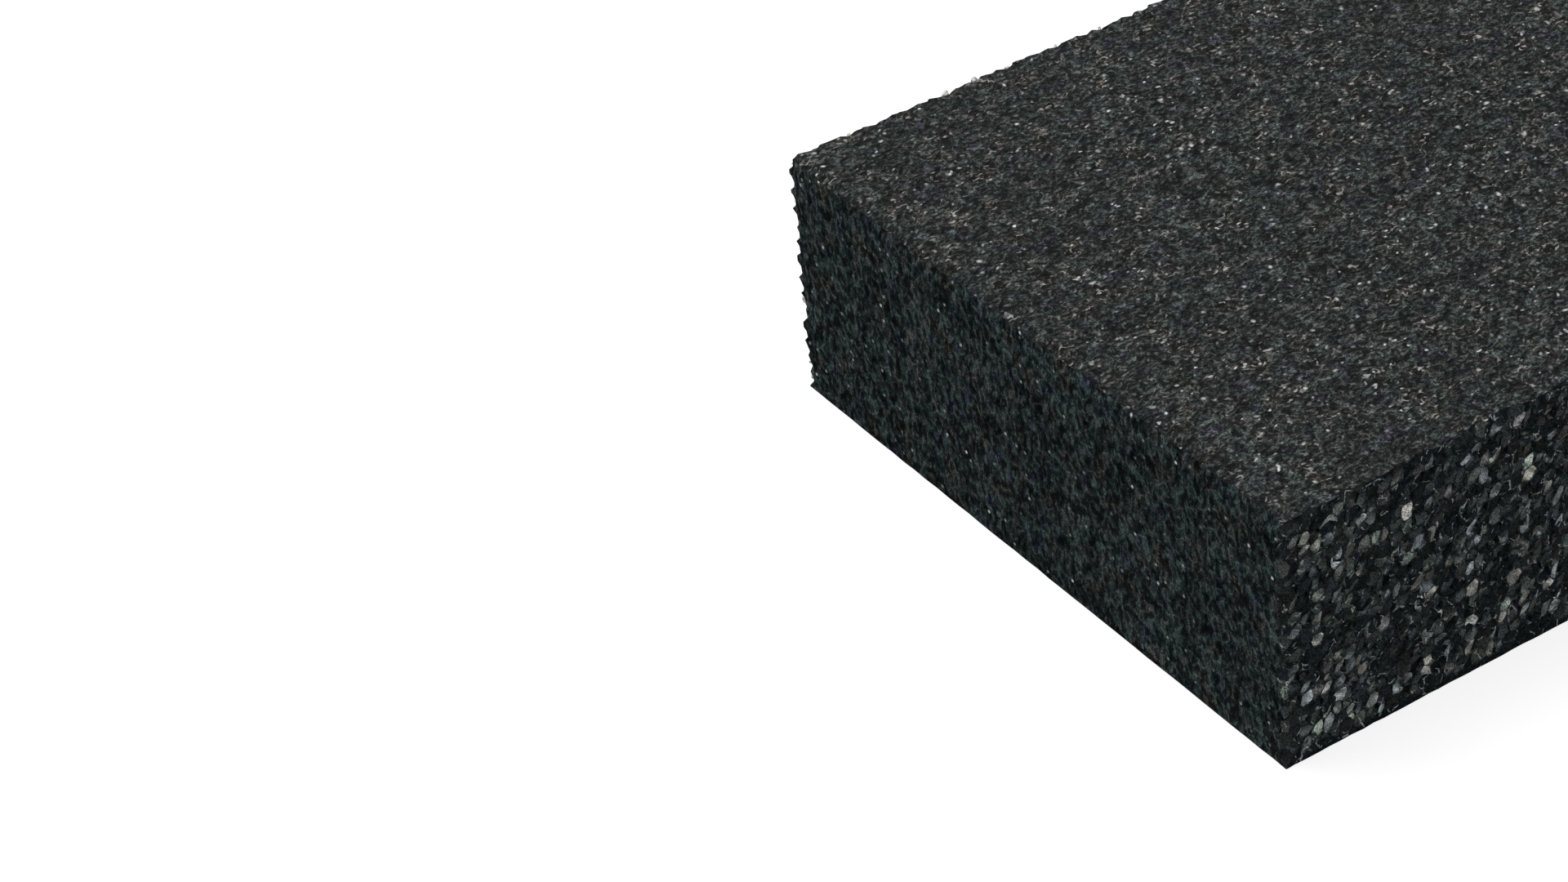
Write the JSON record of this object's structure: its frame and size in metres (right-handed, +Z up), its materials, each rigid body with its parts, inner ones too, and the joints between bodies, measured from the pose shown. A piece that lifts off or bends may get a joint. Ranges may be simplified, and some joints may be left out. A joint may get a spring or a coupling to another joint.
{
  "type": "foam block",
  "caption": "Rectangular block of black closed-cell foam plank, with clean-cut ends and coarsely cut long sides whose torn cells notch the edges.",
  "frame": {"origin": "middle of the underside, on the surface that the block lies on", "axes": "+X along the length, +Y along the width, from one coarse side to the other, and +Z up through the thickness"},
  "size_m": [0.2, 0.138, 0.05],
  "materials": {
    "foam": "dull black cellular foam with a fine glint on its cell walls"
  },
  "bodies": {
    "root": {"foam_block": "foam"}
  },
  "joints": []
}
